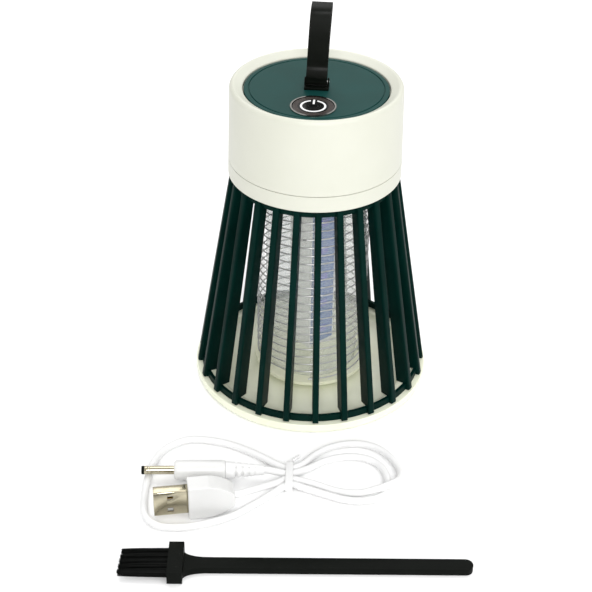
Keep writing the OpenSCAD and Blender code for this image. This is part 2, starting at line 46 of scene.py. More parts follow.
# ---- Camera ----
# It stands in front of the lamp and looks about 34 degrees down on it.
# The lamp is turned four degrees on its axis, so the camera is a little to +X.
cam_distance, cam_height, cam_lens, cam_sensor = 0.51915, 0.38271, 85.135, 36.0
cam_pitch, cam_yaw, cam_roll = math.radians(33.75), math.radians(-0.778), math.radians(0.921)
lamp_turn = math.radians(4.0)
look = Vector((math.sin(cam_yaw) * math.cos(cam_pitch), math.cos(cam_yaw) * math.cos(cam_pitch),
               -math.sin(cam_pitch)))
level = Vector((math.cos(cam_yaw), -math.sin(cam_yaw), 0.0))
upright = level.cross(look)
right = math.cos(cam_roll) * level + math.sin(cam_roll) * upright
above = -math.sin(cam_roll) * level + math.cos(cam_roll) * upright
cam_data = bpy.data.cameras.new("camera")
cam_data.sensor_width = cam_sensor
cam_data.lens = cam_lens
cam_data.clip_start = 0.01
camera = bpy.data.objects.new("camera", cam_data)
bpy.context.scene.collection.objects.link(camera)
stand = Matrix((right, above, -look)).transposed().to_4x4()
stand.translation = Vector((0.0, -cam_distance, cam_height))
camera.matrix_world = Matrix.Rotation(lamp_turn, 4, "Z") @ stand
bpy.context.scene.camera = camera


# ---- Charging cord ----
# A thin white rubber-sheathed cord, folded into one loop to the left and two to the right.
# It leaves the round plug's relief and ends in the USB plug; a tie holds its four runs together.
def moulded(name, low, high, rough, mottle=70.0, grain=1500.0, depth=0.03, metal=0.0, coat=0.0,
            specular=0.5, stretch=(1.0, 1.0, 1.0)):
    mat = bpy.data.materials.new(name)
    mat.use_nodes = True
    nodes, links = mat.node_tree.nodes, mat.node_tree.links
    shader = nodes["Principled BSDF"]
    shader.inputs["Metallic"].default_value = metal
    shader.inputs["Coat Weight"].default_value = coat
    shader.inputs["Coat Roughness"].default_value = 0.12
    shader.inputs["Specular IOR Level"].default_value = specular
    place = nodes.new("ShaderNodeTexCoord")
    spread = nodes.new("ShaderNodeMapping")
    spread.inputs["Scale"].default_value = stretch
    links.new(place.outputs["Object"], spread.inputs["Vector"])
    cloud = nodes.new("ShaderNodeTexNoise")
    cloud.inputs["Scale"].default_value = mottle
    cloud.inputs["Detail"].default_value = 4.0
    links.new(spread.outputs["Vector"], cloud.inputs["Vector"])
    tint = nodes.new("ShaderNodeValToRGB")
    tint.color_ramp.elements[0].position = 0.3
    tint.color_ramp.elements[1].position = 0.7
    tint.color_ramp.elements[0].color = (*low, 1.0)
    tint.color_ramp.elements[1].color = (*high, 1.0)
    links.new(cloud.outputs["Fac"], tint.inputs["Fac"])
    links.new(tint.outputs["Color"], shader.inputs["Base Color"])
    polish = nodes.new("ShaderNodeMapRange")
    polish.inputs["To Min"].default_value = rough[0]
    polish.inputs["To Max"].default_value = rough[1]
    links.new(cloud.outputs["Fac"], polish.inputs["Value"])
    links.new(polish.outputs["Result"], shader.inputs["Roughness"])
    fine = nodes.new("ShaderNodeTexNoise")
    fine.inputs["Scale"].default_value = grain
    fine.inputs["Detail"].default_value = 2.0
    links.new(spread.outputs["Vector"], fine.inputs["Vector"])
    bump = nodes.new("ShaderNodeBump")
    bump.inputs["Strength"].default_value = depth
    bump.inputs["Distance"].default_value = 0.0003
    links.new(fine.outputs["Fac"], bump.inputs["Height"])
    links.new(bump.outputs["Normal"], shader.inputs["Normal"])
    return mat


def shader_of(material):
    return material.node_tree.nodes["Principled BSDF"].inputs


def between(points, i, t):
    a, b = points[max(i - 1, 0)], points[i]
    c, d = points[min(i + 1, len(points) - 1)], points[min(i + 2, len(points) - 1)]
    return 0.5 * (2 * b + (c - a) * t + (2 * a - 5 * b + 4 * c - d) * t * t
                  + (3 * b - a - 3 * c + d) * t * t * t)


def eased(points, steps):
    line = [between(points, i, k / steps) for i in range(len(points) - 1) for k in range(steps)]
    return line + [points[-1]]


def finished(piece, body, slot, material, *nodes):
    if material is not None:
        piece.data.materials.clear()
        piece.data.materials.append(material)
    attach(piece, body)
    if nodes:
        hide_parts(*nodes)
    return piece


lead_place = Matrix.Translation((-1.7 * MM, -82.8 * MM, 0.0)) @ Matrix.Rotation(math.radians(4.0), 4, "Z")
cord_radius = 1.5 * MM
cord_route = [
    (-10.5, 0, 5), (-8.6, 0.1, 4.9), (-4.4, 0.9, 3.2), (0, 1.7, 1.9), (7, 5, 1.6), (14.5, 10.5, 1.5),
    (23, 13.5, 1.5), (31, 13, 1.5), (37, 9, 1.5), (40, 2, 1.5), (39.8, -5, 1.5), (37, -10.5, 1.5),
    (31, -13.3, 1.5), (23, -13, 1.5), (14, -9.8, 1.5), (7, -6.9, 1.5), (0, -5.1, 1.9),
    (-7, -11, 1.6), (-14.5, -17.8, 1.5), (-22, -24, 1.5), (-31, -28.5, 1.5), (-41, -31.2, 1.5),
    (-50, -31, 1.5), (-56, -26, 1.5), (-57.8, -17, 1.5), (-58, -6, 1.5), (-57, 5, 1.5), (-53, 15, 1.5),
    (-44.5, 21.8, 1.5), (-34, 22, 1.5), (-24, 19, 1.5), (-14, 13.6, 1.5), (-5.5, 7.6, 1.6),
    (0, 5.1, 1.9), (5, 7.8, 1.6), (10.5, 14.5, 1.5), (18, 20, 1.5), (27, 22.3, 1.5), (35.5, 20.3, 1.5),
    (42, 14, 1.5), (45.3, 6, 1.7), (45, -1, 3.1), (41.5, -6.2, 4.7), (35.5, -9.2, 4.2), (28, -9.9, 2.4),
    (19, -7.8, 1.5), (9, -3.6, 1.6), (0, -1.7, 1.9), (-5.5, -5.6, 2.8), (-11, -10.4, 4.7),
    (-16, -15.2, 6.8), (-19.5, -17.9, 7.7), (-21.5, -18.3, 7.8)]
cord_line = []
for point in eased([Vector(p) * MM for p in cord_route], 8):
    point.z = max(point.z, cord_radius)
    cord_line.append(lead_place @ point)
cord_curve = bpy.data.curves.new("charging_cord_soft", "CURVE")
cord_curve.dimensions = "3D"
cord_spline = cord_curve.splines.new("POLY")
cord_spline.points.add(len(cord_line) - 1)
for knot, point in zip(cord_spline.points, cord_line):
    knot.co = (*point, 1.0)
cord_curve.bevel_depth = cord_radius
cord_curve.bevel_resolution = 5
cord_curve.use_fill_caps = True
cord = bpy.data.objects.new("charging_cord_soft", cord_curve)
bpy.context.scene.collection.objects.link(cord)
lead_white = moulded("lead_white", (0.74, 0.74, 0.735), (0.78, 0.78, 0.775), (0.34, 0.42), grain=2500.0)
finished(cord, "lead", "lead_white", lead_white, "charging_cord")


# ---- USB plug ----
# A folded steel shell round a white contact block, in a soft white moulded grip.
# The grip tapers in a half oval towards the cord; the plug stands on its narrow edge.
def deselect():
    if bpy.context.object and bpy.context.object.mode != "OBJECT":
        bpy.ops.object.mode_set(mode="OBJECT")
    bpy.ops.object.select_all(action="DESELECT")


def only(piece):
    deselect()
    piece.select_set(True)
    bpy.context.view_layer.objects.active = piece


def block(name, size, centre, turn=0.0):
    deselect()
    bpy.ops.mesh.primitive_cube_add(size=1.0, location=centre, rotation=(0, 0, turn))
    piece = bpy.context.object
    piece.name = name
    piece.scale = size
    bpy.ops.object.transform_apply(location=False, rotation=False, scale=True)
    return piece


def rounded(piece, width, segments=3, angle=35.0):
    only(piece)
    bevel = piece.modifiers.new("edges", "BEVEL")
    bevel.width = width
    bevel.segments = segments
    bevel.limit_method = "ANGLE"
    bevel.angle_limit = math.radians(angle)
    bevel.use_clamp_overlap = True
    bpy.ops.object.modifier_apply(modifier=bevel.name)
    bpy.ops.object.shade_smooth_by_angle(angle=math.radians(40.0))
    return piece


def pick(piece, edges=None, faces=None, verts=None):
    only(piece)
    bpy.ops.object.mode_set(mode="EDIT")
    bpy.context.tool_settings.mesh_select_mode = (verts is not None, edges is not None, faces is not None)
    bpy.ops.mesh.select_all(action="DESELECT")
    bpy.ops.object.mode_set(mode="OBJECT")
    mesh = piece.data
    if verts is not None:
        for v in mesh.vertices:
            v.select = bool(verts(v.co))
    if edges is not None:
        for edge in mesh.edges:
            edge.select = bool(edges(*(mesh.vertices[v].co for v in edge.vertices)))
    if faces is not None:
        for face in mesh.polygons:
            face.select = bool(faces(face))
    bpy.ops.object.mode_set(mode="EDIT")


def settle(piece, place):
    only(piece)
    piece.matrix_world = place @ piece.matrix_world
    bpy.ops.object.transform_apply(location=True, rotation=True, scale=True)
    return piece


def cut(piece, tool):
    only(piece)
    hole = piece.modifiers.new("hole", "BOOLEAN")
    hole.operation = "DIFFERENCE"
    hole.object = tool
    hole.solver = "EXACT"
    bpy.ops.object.modifier_apply(modifier=hole.name)
    bpy.data.objects.remove(tool)
    return piece


def cad_copy(node, name):
    piece = bpy.data.objects.new(name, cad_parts[node].data.copy())
    bpy.context.scene.collection.objects.link(piece)
    only(piece)
    bpy.ops.object.mode_set(mode="EDIT")
    bpy.ops.mesh.select_all(action="SELECT")
    bpy.ops.mesh.remove_doubles(threshold=0.000005)
    bpy.ops.mesh.customdata_custom_splitnormals_clear()
    bpy.ops.mesh.dissolve_limited(angle_limit=math.radians(1.0))
    bpy.ops.object.mode_set(mode="OBJECT")
    return piece


usb_place = (lead_place @ Matrix.Translation((-21.5 * MM, -18.3 * MM, 7.8 * MM))
             @ Matrix.Rotation(math.radians(190.0), 4, "Z"))
grip_length, shell_length, shell_height, shell_thick = 18.5 * MM, 13.5 * MM, 12.0 * MM, 4.5 * MM
shell_fold, shell_wall, window_back, window_up = 0.7 * MM, 0.35 * MM, 6.45 * MM, 3.0 * MM
usb_shell = block("usb_shell_folded", (shell_length, shell_thick, shell_height),
                  (grip_length + shell_length / 2, 0, 0))
pick(usb_shell, edges=lambda a, b: abs(a.x - b.x) > shell_length / 2)
bpy.ops.mesh.bevel(offset=shell_fold, segments=4, affect="EDGES")
bpy.ops.object.mode_set(mode="OBJECT")
pick(usb_shell, faces=lambda face: face.normal.x > 0.9)
bpy.ops.mesh.delete(type="FACE")
bpy.ops.object.mode_set(mode="OBJECT")
wall = usb_shell.modifiers.new("wall", "SOLIDIFY")
wall.thickness = shell_wall
wall.offset = -1.0
bpy.ops.object.modifier_apply(modifier=wall.name)
for side in (-1, 1):
    window = block("window", (2.3 * MM, 10 * MM, 2.2 * MM),
                   (grip_length + shell_length - window_back, 0, side * window_up))
    cut(usb_shell, window)
rounded(usb_shell, 0.06 * MM, 2)
settle(usb_shell, usb_place)
steel_warm = moulded("plated_steel", (0.42, 0.385, 0.28), (0.53, 0.485, 0.36), (0.12, 0.22), mottle=220.0,
                     grain=900.0, depth=0.05, metal=1.0)
finished(usb_shell, "lead", "chrome_trim", steel_warm, "usb_shell")

usb_contacts = None
for lane in (-3.5, -1.2, 1.2, 3.5):
    strip = block("contact", (8.5 * MM, 0.12 * MM, 1.2 * MM),
                  (grip_length + 7.4 * MM, 0.02 * MM, lane * MM))
    rounded(strip, 0.05 * MM, 2)
    if usb_contacts is None:
        usb_contacts = strip
        usb_contacts.name = "usb_contacts"
    else:
        only(usb_contacts)
        strip.select_set(True)
        bpy.ops.object.join()
settle(usb_contacts, usb_place)
contact_gold = moulded("contact_gold", (0.75, 0.52, 0.2), (0.83, 0.6, 0.26), (0.2, 0.28), metal=1.0)
finished(usb_contacts, "lead", "chrome_trim", contact_gold)

usb_grip = cad_copy("usb_grip", "usb_grip_moulded")
only(usb_grip)
usb_grip.data.remesh_voxel_size = 0.32 * MM
bpy.ops.object.voxel_remesh()
soften = usb_grip.modifiers.new("soften", "SMOOTH")
soften.factor = 0.5
soften.iterations = 14
bpy.ops.object.modifier_apply(modifier=soften.name)
bpy.ops.object.shade_smooth()
plug_white = moulded("plug_white", (0.66, 0.66, 0.65), (0.70, 0.70, 0.69), (0.28, 0.36), grain=3000.0)
finished(usb_grip, "lead", "plug_white", plug_white, "usb_grip")


# ---- Round plug ----
# A nickel barrel with a black insulating tip, in a white grip with a slotted strain relief.
# Barrel and grip are turned shapes; the relief is the slotted moulding with its edges rounded.
def traced(name, points):
    deselect()
    bpy.ops.mesh.primitive_plane_add(size=0.001, location=(0, 0, 0))
    piece = bpy.context.object
    piece.name = name
    bpy.ops.object.mode_set(mode="EDIT")
    bpy.context.tool_settings.mesh_select_mode = (True, False, False)
    bpy.ops.mesh.select_all(action="SELECT")
    bpy.ops.mesh.merge(type="CENTER")
    bpy.ops.transform.translate(value=points[0])
    for a, b in zip(points, points[1:]):
        bpy.ops.mesh.extrude_region_move(TRANSFORM_OT_translate={"value": Vector(b) - Vector(a)})
    bpy.ops.mesh.select_all(action="SELECT")
    return piece


def turned(name, profile, steps=96):
    piece = traced(name, [(r * MM, 0, z * MM) for r, z in profile])
    bpy.ops.mesh.spin(steps=steps, angle=2 * math.pi, center=(0, 0, 0), axis=(0, 0, 1))
    bpy.ops.mesh.select_all(action="SELECT")
    bpy.ops.mesh.remove_doubles(threshold=0.000002)
    bpy.ops.mesh.normals_make_consistent(inside=False)
    bpy.ops.object.mode_set(mode="OBJECT")
    bpy.ops.object.shade_smooth_by_angle(angle=math.radians(32.0))
    return piece


dc_place = (lead_place @ Matrix.Translation((-10.5 * MM, 0, 5.0 * MM))
            @ Matrix.Rotation(math.radians(182.4), 4, "Z") @ Matrix.Rotation(math.radians(90.0), 4, "Y"))
barrel_start, barrel_end = 36.5, 49.9
dc_barrel = turned("dc_barrel_turned", [
    (1.35, barrel_start), (1.75, barrel_start), (1.75, barrel_end - 3.4), (1.58, barrel_end - 3.2),
    (1.58, barrel_end - 2.6), (1.75, barrel_end - 2.4), (1.75, barrel_end - 1.25), (1.68, barrel_end - 1.12),
    (1.35, barrel_end - 1.1), (1.35, barrel_start)], 64)
settle(dc_barrel, dc_place)
finished(dc_barrel, "lead", "chrome_trim", steel_warm, "dc_barrel")
dc_grip = turned("dc_grip_moulded", [
    (0, 15.5), (3.3, 15.5), (3.75, 15.7), (4.0, 16.2), (4.1, 17.0), (4.1, 35.0), (4.0, 35.8), (3.7, 36.3),
    (3.2, 36.5), (0, 36.5)], 96)
settle(dc_grip, dc_place)
finished(dc_grip, "lead", "plug_white", plug_white, "dc_grip")
dc_relief = rounded(cad_copy("dc_relief", "dc_relief_moulded"), 0.22 * MM, 2, 50.0)
finished(dc_relief, "lead", "lead_white", lead_white, "dc_relief")

# ---- Lead tie ----
# A soft white wire tie wound once round the lead's four runs, with its two ends twisted.
# It is pressed flat under the cord and rounded over it.
tie_half, tie_top, tie_wide, tie_thick = 7.7 * MM, 4.25 * MM, 3.0 * MM, 0.3 * MM
over_cord, under_cord, sliver = 1.7 * MM, 0.5 * MM, 0.01 * MM
tail_radius, tail_twist, tail_steps = 0.45 * MM, 2.5 * math.pi, 24
tail_start, tail_reach = Vector((1.0, 7.4, 3.6)) * MM, Vector((2.6, 5.0, -1.6)) * MM
tie = block("cord_tie_band", (tie_wide, 2 * tie_half, tie_top), (0, 0, tie_top / 2))
for high, round_over in ((True, over_cord), (False, under_cord)):
    pick(tie, edges=lambda a, b: abs(a.x - b.x) > tie_wide / 2 and (a.z > tie_top / 2) == high
         and abs(a.y) > tie_half - sliver)
    bpy.ops.mesh.bevel(offset=round_over, segments=6, affect="EDGES")
    bpy.ops.object.mode_set(mode="OBJECT")
pick(tie, faces=lambda face: abs(face.normal.x) > 0.9)
bpy.ops.mesh.delete(type="FACE")
bpy.ops.object.mode_set(mode="OBJECT")
wall = tie.modifiers.new("wall", "SOLIDIFY")
wall.thickness = tie_thick
wall.offset = -1.0
bpy.ops.object.modifier_apply(modifier=wall.name)
rounded(tie, 0.12 * MM, 2, 50.0)
for phase in (0.0, math.pi):
    tail = bpy.data.curves.new("tail", "CURVE")
    tail.dimensions = "3D"
    tail.bevel_depth = tail_radius
    tail.bevel_resolution = 3
    tail.use_fill_caps = True
    run = tail.splines.new("POLY")
    run.points.add(tail_steps)
    for k, knot in enumerate(run.points):
        along = k / tail_steps
        turn = phase + tail_twist * along
        knot.co = (tail_start.x + tail_reach.x * along + tail_radius * math.cos(turn),
                   tail_start.y + tail_reach.y * along,
                   tail_start.z + tail_reach.z * along ** 2 + tail_radius * math.sin(turn), 1.0)
    tail_piece = bpy.data.objects.new("tail", tail)
    bpy.context.scene.collection.objects.link(tail_piece)
    only(tail_piece)
    bpy.ops.object.convert(target="MESH")
    tail_piece = bpy.context.object
    only(tie)
    tail_piece.select_set(True)
    bpy.ops.object.join()
settle(tie, lead_place)
bpy.ops.object.shade_smooth_by_angle(angle=math.radians(40.0))
finished(tie, "lead", "lead_white", lead_white, "cord_tie")

# ---- Cleaning brush ----
# A black moulded handle with a square head, and five tufts of nylon bristle set in its end.
# The bristles near the handle's front edge are a little longer than those behind.
brush_place = Matrix.Translation((5.7 * MM, -133.3 * MM, 0)) @ Matrix.Rotation(math.radians(5.4), 4, "Z")
black_satin = moulded("black_satin", (0.0014, 0.0022, 0.0014), (0.003, 0.004, 0.003), (0.42, 0.54),
                      specular=0.06, grain=1800.0, depth=0.06)
brush_handle = rounded(cad_copy("brush_handle", "brush_handle_moulded"), 0.55 * MM, 3, 30.0)
finished(brush_handle, "brush", "brush_black", black_satin, "brush_handle")
chance = random.Random(41)
bristle_length, bristle_radius, bristle_root = 18.4 * MM, 0.15 * MM, 0.6 * MM
tuft_pitch, tuft_width, tuft_depth, tuft_middle = 2.8 * MM, 1.95 * MM, 3.5 * MM, 2.75 * MM
head_end = -48.6 * MM
hairs_per_tuft, cut_slant, splay_across, splay_down = 100, 0.05, 0.25, 0.35
deselect()
bpy.ops.mesh.primitive_cylinder_add(vertices=5, radius=bristle_radius, depth=bristle_length,
                                    location=(-bristle_length / 2, 0, 0),
                                    rotation=(0, math.radians(-90.0), 0))
bristle = bpy.context.object
bpy.ops.object.transform_apply(location=True, rotation=True, scale=True)
pick(bristle, edges=lambda a, b: abs(a.x - b.x) > bristle_length / 2)
bpy.ops.mesh.subdivide(number_cuts=3)
pick(bristle, verts=lambda v: v.x < -bristle_length + 0.1 * MM)
bpy.ops.transform.resize(value=(1.0, 0.5, 0.5))
bpy.ops.object.mode_set(mode="OBJECT")
set_bristles = []
for tuft in range(-2, 3):
    for _ in range(hairs_per_tuft):
        hair = bpy.data.objects.new("bristle", bristle.data.copy())
        bpy.context.scene.collection.objects.link(hair)
        across = chance.uniform(-0.5, 0.5) * tuft_width
        depth = chance.uniform(-0.5, 0.5) * tuft_depth
        slant = -cut_slant * (tuft * tuft_pitch + across)
        cut_to = 1.0 + (slant + chance.uniform(-0.45, 0.2) * MM) / bristle_length
        sway, droop = chance.uniform(-0.25, 0.25) * MM, chance.uniform(-0.4, 0.25) * MM
        for v in hair.data.vertices:
            along = min(1.0, max(0.0, -v.co.x / bristle_length))
            v.co.x = head_end + bristle_root + v.co.x * cut_to * (1.0 + bristle_root / bristle_length)
            v.co.y += tuft * tuft_pitch + across + (sway - splay_across * across) * along * along
            v.co.z += tuft_middle + depth + (droop - splay_down * depth) * along * along
        set_bristles.append(hair)
bpy.data.objects.remove(bristle)
deselect()
for hair in set_bristles:
    hair.select_set(True)
bpy.context.view_layer.objects.active = set_bristles[0]
bpy.ops.object.join()
brush_tufts = bpy.context.object
brush_tufts.name = "brush_bristles"
bpy.ops.object.shade_smooth_by_angle(angle=math.radians(75.0))
settle(brush_tufts, brush_place)
bristle_black = moulded("bristle_black", (0.001, 0.0014, 0.001), (0.003, 0.0034, 0.003), (0.35, 0.5),
                        specular=0.06, mottle=400.0)
finished(brush_tufts, "brush", "bristle_black", bristle_black, "brush_tufts")

# ---- Base tray ----
# A glossy white dish that twists onto the cage's lower ring and catches the insects.
# The tray keeps its turned shape; its surface has faint cream mottling.
def dress(node, material):
    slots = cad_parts[node].data.materials
    slots.clear()
    slots.append(material)


dress("base_tray", moulded("tray_cream", (0.80, 0.82, 0.64), (0.87, 0.89, 0.73), (0.2, 0.3), mottle=45.0))

# ---- Cage ----
# Twenty-five dark green slats stand between two rings, moulded in one with them.
# Each slat's outer edge is rounded over its full thickness and its other edges are just broken.
cage_green = moulded("cage_green", (0.0003, 0.011, 0.0085), (0.0005, 0.016, 0.0125), (0.34, 0.46),
                     mottle=60.0, specular=0.04)
cage_slats = cad_copy("cage_slats", "cage_slats_rounded")
pick(cage_slats, edges=lambda a, b: abs(a.z - b.z) > 60 * MM
     and min((a.z, math.hypot(a.x, a.y)), (b.z, math.hypot(b.x, b.y)))[1] > 48 * MM)
bpy.ops.mesh.bevel(offset=1.15 * MM, segments=5, affect="EDGES", clamp_overlap=True)
bpy.ops.object.mode_set(mode="OBJECT")
rounded(cage_slats, 0.3 * MM, 2, 40.0)
finished(cage_slats, "lamp", "green_cage", cage_green, "cage_slats")
dress("cage_top_ring", cage_green)
dress("cage_low_ring", cage_green)

# ---- Light tube ----
# A clear plastic tube embossed all round with small diamonds, which scatter the lamp's light.
# It stands on the foot disc inside the wire grid.
tube_low, tube_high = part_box("light_tube")
tube_valley, tube_bore, tube_relief = 20.2 * MM, 19.8 * MM, 0.72 * MM
diamonds_round, diamonds_high = 24, 32
tube_height = tube_high.z - tube_low.z
tube_centre = (0, 0, (tube_high.z + tube_low.z) / 2)
deselect()
bpy.ops.mesh.primitive_cylinder_add(vertices=diamonds_round, radius=tube_valley, depth=tube_height,
                                    end_fill_type="NOTHING", location=tube_centre)
light_tube = bpy.context.object
light_tube.name = "light_tube_embossed"
bpy.ops.object.transform_apply(location=True, rotation=True, scale=True)
pick(light_tube, edges=lambda a, b: abs(a.z - b.z) > tube_height / 2)
bpy.ops.mesh.subdivide(number_cuts=diamonds_high - 1)
bpy.context.tool_settings.mesh_select_mode = (False, False, True)
bpy.ops.mesh.select_all(action="SELECT")
bpy.ops.mesh.poke()
bpy.ops.object.mode_set(mode="OBJECT")
pick(light_tube, edges=lambda a, b: (abs(a.z - b.z) < sliver or (a.xy - b.xy).length < sliver)
     and tube_low.z + sliver < (a.z + b.z) / 2 < tube_high.z - sliver)
bpy.ops.mesh.dissolve_edges(use_verts=False, use_face_split=False)
bpy.ops.object.mode_set(mode="OBJECT")
pick(light_tube, faces=lambda face: len(face.vertices) == 4)
bpy.ops.mesh.poke(offset=tube_relief)
bpy.ops.object.mode_set(mode="OBJECT")
deselect()
bpy.ops.mesh.primitive_cylinder_add(vertices=diamonds_round, radius=tube_bore, depth=tube_height,
                                    end_fill_type="NOTHING", location=tube_centre)
bore = bpy.context.object
bpy.ops.object.transform_apply(location=True, rotation=True, scale=True)
bpy.ops.object.mode_set(mode="EDIT")
bpy.ops.mesh.select_all(action="SELECT")
bpy.ops.mesh.flip_normals()
bpy.ops.object.mode_set(mode="OBJECT")
only(light_tube)
bore.select_set(True)
bpy.ops.object.join()
for rim in (tube_low.z, tube_high.z):
    pick(light_tube, edges=lambda a, b: abs(a.z - rim) < sliver and abs(b.z - rim) < sliver)
    bpy.ops.mesh.bridge_edge_loops()
    bpy.ops.object.mode_set(mode="OBJECT")
only(light_tube)
bpy.ops.object.shade_flat()
tube_look = moulded("embossed_clear", (0.78, 0.82, 0.75), (0.88, 0.90, 0.84), (0.08, 0.18), mottle=120.0)
shader_of(tube_look)["Alpha"].default_value = 0.22
finished(light_tube, "lamp", "frosted_tube", tube_look, "light_tube")

# ---- Grid ----
# Two bright steel wires coiled side by side, four millimetres apart, round four clear ribs.
# The live and the return wire hang from the white top disc and end near the cream foot disc.
grid_radius, wire_radius, wire_pitch = 24.0 * MM, 0.3 * MM, 8.0 * MM
exit_across, end_inset, steps_per_turn = 6.0 * MM, 0.35 * MM, 60
bright_wire = moulded("bright_wire", (0.5, 0.5, 0.5), (0.65, 0.65, 0.65), (0.24, 0.34), mottle=300.0,
                      metal=1.0)
for node, side in (("grid_wire_live", 1), ("grid_wire_return", -1)):
    low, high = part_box(node)
    top_turn = math.atan2(-math.sqrt(grid_radius ** 2 - exit_across ** 2), exit_across * side)
    top_z, foot_z = high.z - end_inset, low.z + end_inset
    turns = (top_z - foot_z) / wire_pitch
    count = int(turns * steps_per_turn)
    coil = bpy.data.curves.new(node + "_drawn", "CURVE")
    coil.dimensions = "3D"
    coil.bevel_depth = wire_radius
    coil.bevel_resolution = 2
    coil.use_fill_caps = True
    run = coil.splines.new("POLY")
    run.points.add(count)
    for k, knot in enumerate(run.points):
        fall = k / count * turns
        angle = top_turn - 2 * math.pi * fall
        knot.co = (grid_radius * math.cos(angle), grid_radius * math.sin(angle),
                   top_z - fall * wire_pitch, 1.0)
    wire = bpy.data.objects.new(node + "_drawn", coil)
    bpy.context.scene.collection.objects.link(wire)
    only(wire)
    bpy.ops.object.convert(target="MESH")
    wire = bpy.context.object
    wire.name = node + "_drawn"
    finished(wire, "lamp", "grid_steel", bright_wire, node)
white_satin = moulded("white_satin", (0.78, 0.78, 0.76), (0.84, 0.84, 0.82), (0.36, 0.46))
clear_rib = moulded("clear_rib", (0.62, 0.65, 0.60), (0.72, 0.75, 0.70), (0.45, 0.55), specular=0.1)
shader_of(clear_rib)["Alpha"].default_value = 0.2
dress("grid_posts", clear_rib)
for node in ("grid_top_disc", "led_column", "usb_tongue"):
    dress(node, white_satin)
disc_cream = moulded("disc_cream", (0.80, 0.81, 0.60), (0.86, 0.87, 0.68), (0.34, 0.44), mottle=60.0)
dress("grid_foot_disc", disc_cream)
dress("grid_leads", moulded("lead_red", (0.35, 0.02, 0.015), (0.45, 0.04, 0.03), (0.35, 0.45)))

# ---- Light source ----
# Two blue boards with six ultraviolet diodes each, in grooves of a square white column.
# The coating is glossy and carries a faint painted glow; the diodes sit under clear violet resin.
board_blue_painted_glow = moulded("board_blue_painted_glow", (0.008, 0.075, 0.30), (0.02, 0.105, 0.38), (0.25, 0.35), mottle=260.0)
# Painted glow: the boards give off a faint blue light of their own, which brightens them behind the tube.
shader_of(board_blue_painted_glow)["Emission Color"].default_value = (0.03, 0.16, 0.5, 1.0)
shader_of(board_blue_painted_glow)["Emission Strength"].default_value = 0.15
dress("led_boards", board_blue_painted_glow)
dress("uv_leds", moulded("led_resin", (0.10, 0.12, 0.62), (0.16, 0.18, 0.72), (0.1, 0.2), coat=0.6))

# ---- Head ----
# Two ivory mouldings meet at a fine seam above the cage; three screws hold them together.
# The surface is satin with a very fine grain.
ivory = moulded("ivory_satin", (0.565, 0.57, 0.488), (0.595, 0.60, 0.522), (0.34, 0.44), mottle=35.0,
                grain=2200.0, depth=0.04)
dress("head_housing", ivory)
dress("head_lower_ring", ivory)
zinc = moulded("zinc_plate", (0.55, 0.55, 0.54), (0.65, 0.65, 0.63), (0.25, 0.4), mottle=400.0, metal=1.0)
for node in ("head_screws", "board_screws", "strap_pin"):
    dress(node, zinc)

# ---- Top panel ----
# A dark green round panel, pressed into the housing's rim, with a groove near its edge.
# Its face has a fine even grain.
panel_foot, panel_face, panel_edge, groove_at = 135.7, 137.7, 29.72, 27.62
top_panel = turned("top_panel_turned", [
    (0, panel_foot), (panel_edge, panel_foot), (panel_edge, panel_face - 0.32),
    (panel_edge - 0.1, panel_face - 0.1), (panel_edge - 0.32, panel_face),
    (groove_at + 0.36, panel_face), (groove_at + 0.24, panel_face - 0.08),
    (groove_at + 0.18, panel_face - 0.4), (groove_at - 0.18, panel_face - 0.4),
    (groove_at - 0.24, panel_face - 0.08), (groove_at - 0.36, panel_face), (0, panel_face)], 160)
button_y, collar_bore = -17.8 * MM, 8.76 * MM
deselect()
bpy.ops.mesh.primitive_cylinder_add(vertices=96, radius=collar_bore, depth=10 * MM,
                                    location=(0, button_y, panel_face * MM))
cut(top_panel, bpy.context.object)
only(top_panel)
bpy.ops.object.shade_smooth_by_angle(angle=math.radians(32.0))
panel_green = moulded("panel_green", (0.004, 0.042, 0.037), (0.006, 0.049, 0.044), (0.36, 0.46), mottle=90.0,
                      grain=2600.0, depth=0.1, specular=0.12)
finished(top_panel, "lamp", "teal_panel", panel_green, "top_panel")

# ---- Power button ----
# A glossy black cap with a printed white mark, in a thin chrome ring, over a small board switch.
# A brown-black band runs round the cap's face outside the mark.
stem_radius, stem_foot, cap_foot, cap_face, cap_edge, groove_deep = 2.0, 132.2, 135.5, 138.0, 8.4, 0.09
band_inner, band_outer = 5.8 * MM, 8.2 * MM
cap_profile = [(0, stem_foot), (stem_radius, stem_foot), (stem_radius, cap_foot), (cap_edge, cap_foot),
               (cap_edge, cap_face - 0.25), (cap_edge - 0.08, cap_face - 0.08), (cap_edge - 0.25, cap_face)]
for groove in (7.6, 6.95, 6.3, 3.9, 2.9, 1.9):
    cap_profile += [(groove + 0.16, cap_face), (groove + 0.06, cap_face - groove_deep),
                    (groove - 0.06, cap_face - groove_deep), (groove - 0.16, cap_face)]
power_button = turned("power_button_turned", cap_profile + [(0, cap_face)], 96)
settle(power_button, Matrix.Translation((0, button_y, 0)))
button_black = moulded("button_black", (0.004, 0.0045, 0.0045), (0.009, 0.009, 0.009), (0.14, 0.24),
                       mottle=500.0, specular=0.25)
finished(power_button, "button", "button_black", button_black, "power_button")
button_band = moulded("button_band", (0.022, 0.016, 0.014), (0.045, 0.034, 0.028), (0.26, 0.38),
                      mottle=700.0, specular=0.4)
power_button.data.materials.append(button_band)
for face in power_button.data.polygons:
    reach = math.hypot(face.center.x, face.center.y - button_y)
    if face.center.z > (cap_face - 0.5) * MM and band_inner < reach < band_outer:
        face.material_index = 1
dress("button_icon", moulded("mark_white", (0.82, 0.82, 0.82), (0.9, 0.9, 0.9), (0.35, 0.45)))
chrome_ring = moulded("chrome_ring", (0.34, 0.33, 0.31), (0.46, 0.45, 0.42), (0.12, 0.2), mottle=600.0,
                      metal=1.0)
dress("button_bezel", chrome_ring)
for node in ("tact_switch", "switch_plunger", "dc_tip"):
    dress(node, black_satin)

